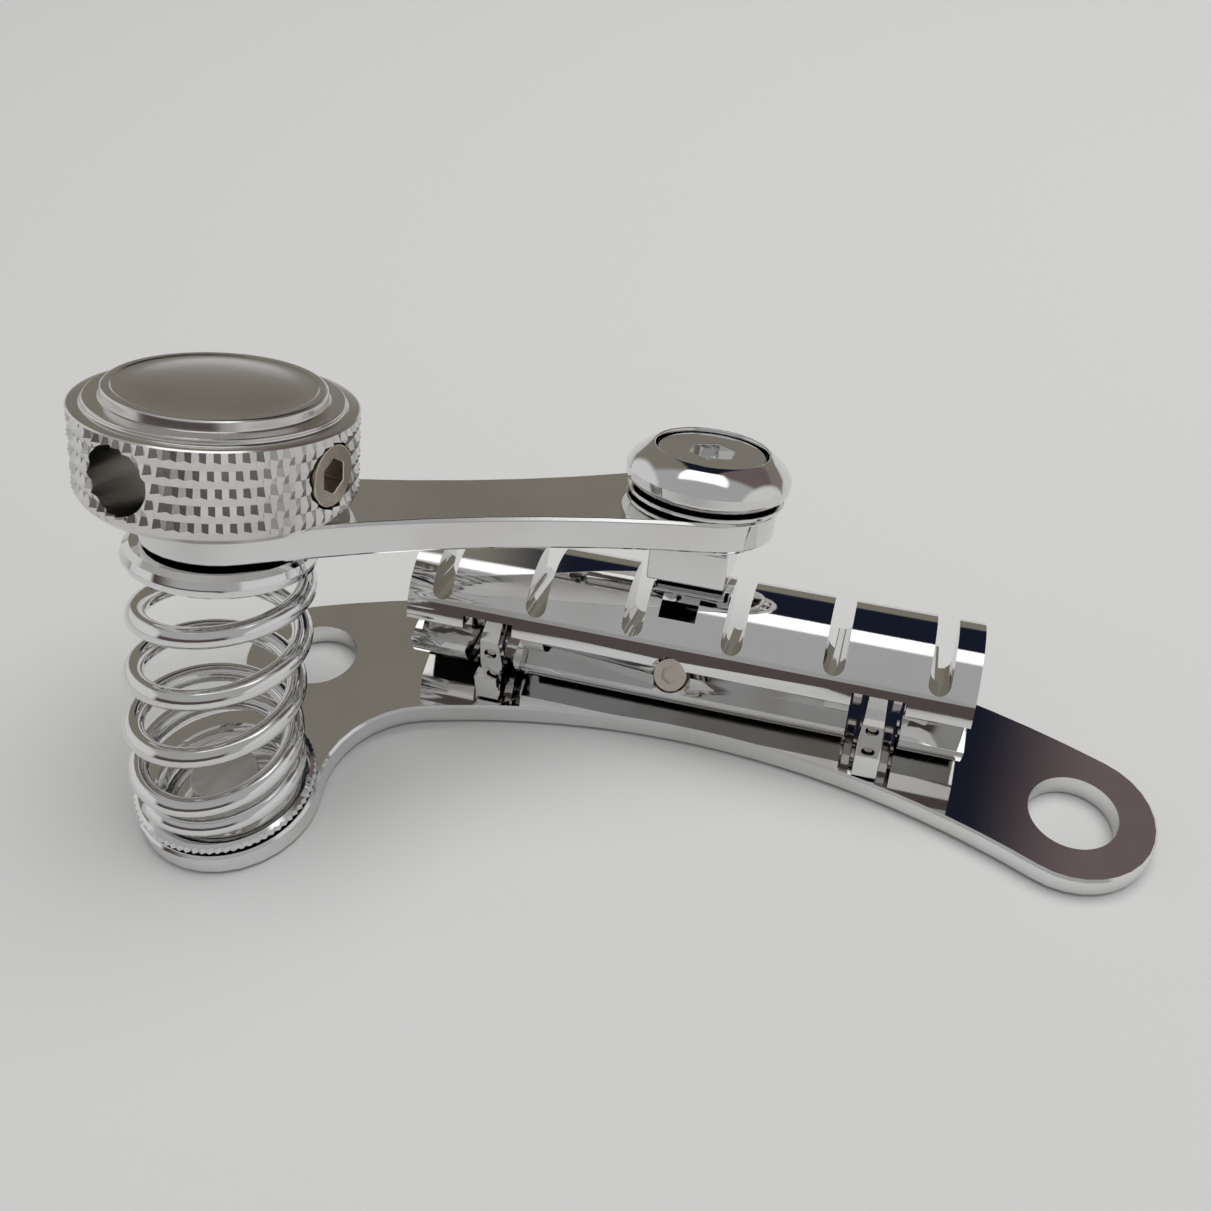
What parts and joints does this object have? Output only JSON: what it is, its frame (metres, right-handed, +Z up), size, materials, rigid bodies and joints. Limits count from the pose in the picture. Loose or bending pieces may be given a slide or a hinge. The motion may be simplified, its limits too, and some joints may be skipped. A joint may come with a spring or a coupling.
{
  "type": "guitar vibrato bridge",
  "caption": "Spring vibrato bridge for an electric guitar: curved chrome base plate on studs, pivoting slotted string bar, lever with knurled arm knob over a coil spring.",
  "frame": {"origin": "on the underside of the base plate, 8 mm behind the middle of the line between the two stud holes", "axes": "+Z up from the guitar's top, +X from the left stud hole to the right one as seen from the front, +Y away from the front"},
  "size_m": [0.1012, 0.0503, 0.0463],
  "materials": {
    "chrome": "polished",
    "dark_chrome": "polished",
    "nickel": "satin",
    "bronze": "satin",
    "nylon": "matte"
  },
  "bodies": {
    "base": {"base_plate": "chrome", "post_left": "chrome", "post_right": "chrome", "post_grub_left": "nickel", "post_grub_right": "nickel", "foot_screw_left": "nickel", "foot_screw_right": "nickel", "pin_left": "nickel", "pin_right": "nickel", "seat_screw": "dark_chrome", "spring": "chrome"},
    "seat": {"seat_wheel": "chrome"},
    "bar": {"string_bar": "chrome", "bush_1": "bronze", "bush_2": "bronze", "bush_3": "bronze", "bush_4": "bronze", "bar_screw": "nickel", "arm_post": "chrome", "lever": "chrome", "lever_washer": "chrome", "cap_washer": "dark_chrome", "cap": "chrome", "cap_screw": "nickel", "retainer": "dark_chrome", "knob_bolt": "nickel", "knob_washer": "nylon"},
    "knob_body": {"knob": "chrome", "knob_grub": "nickel"}
  },
  "joints": [
    {"name": "bar_pivot", "type": "hinge", "parent": "base", "child": "bar", "pos_m": [0, -0.00056, 0.0089], "axis": [1, 0, 0], "range_deg": [0, 15], "stiffness_Nm_per_rad": 5.6, "deforming": ["spring"]},
    {"name": "knob_spin", "type": "hinge", "parent": "bar", "child": "knob_body", "pos_m": [-0.03992, -0.01807, 0.03404], "axis": [0.0365, 0.3138, 0.9488], "continuous": true},
    {"name": "seat_turn", "type": "hinge", "parent": "base", "child": "seat", "pos_m": [-0.042, -0.0271, 0.0027], "axis": [0, 0, 1], "continuous": true}
  ]
}
